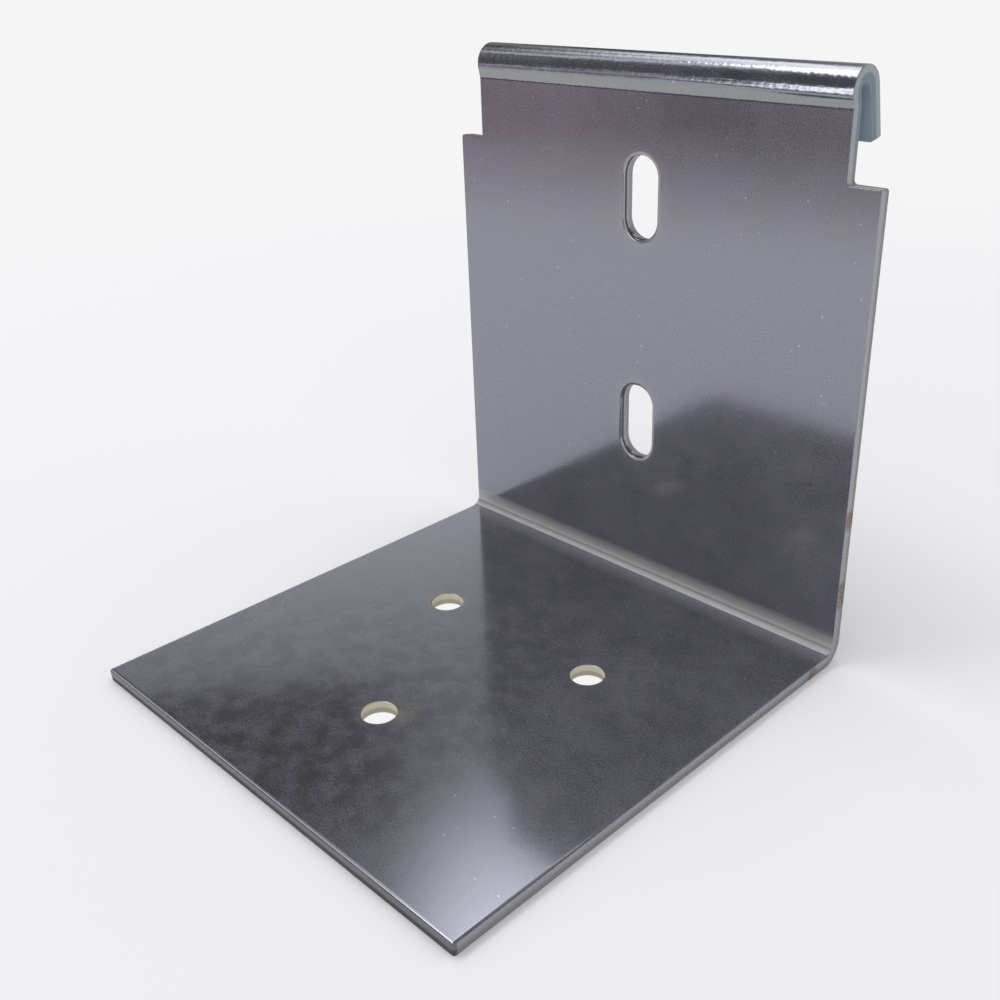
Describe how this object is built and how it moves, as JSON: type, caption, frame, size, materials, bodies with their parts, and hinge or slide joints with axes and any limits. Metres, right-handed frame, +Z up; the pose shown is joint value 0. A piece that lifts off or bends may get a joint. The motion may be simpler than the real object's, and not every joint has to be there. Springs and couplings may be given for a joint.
{
  "type": "camera bracket",
  "caption": "Folded sheet-steel L bracket: flat base with camera screw holes, slotted upright with stepped shoulders, and a rolled hook along the top edge.",
  "frame": {"origin": "centre of the camera screws' circle, on the underside of the base", "axes": "+X along the width, +Y from the base's front edge towards the upright's rear face, +Z up"},
  "size_m": [0.1, 0.1085, 0.1096],
  "materials": {
    "zinc_plated_steel": "clear passivated zinc plating, satin"
  },
  "bodies": {
    "root": {"folded_bracket": "zinc_plated_steel"}
  },
  "joints": []
}
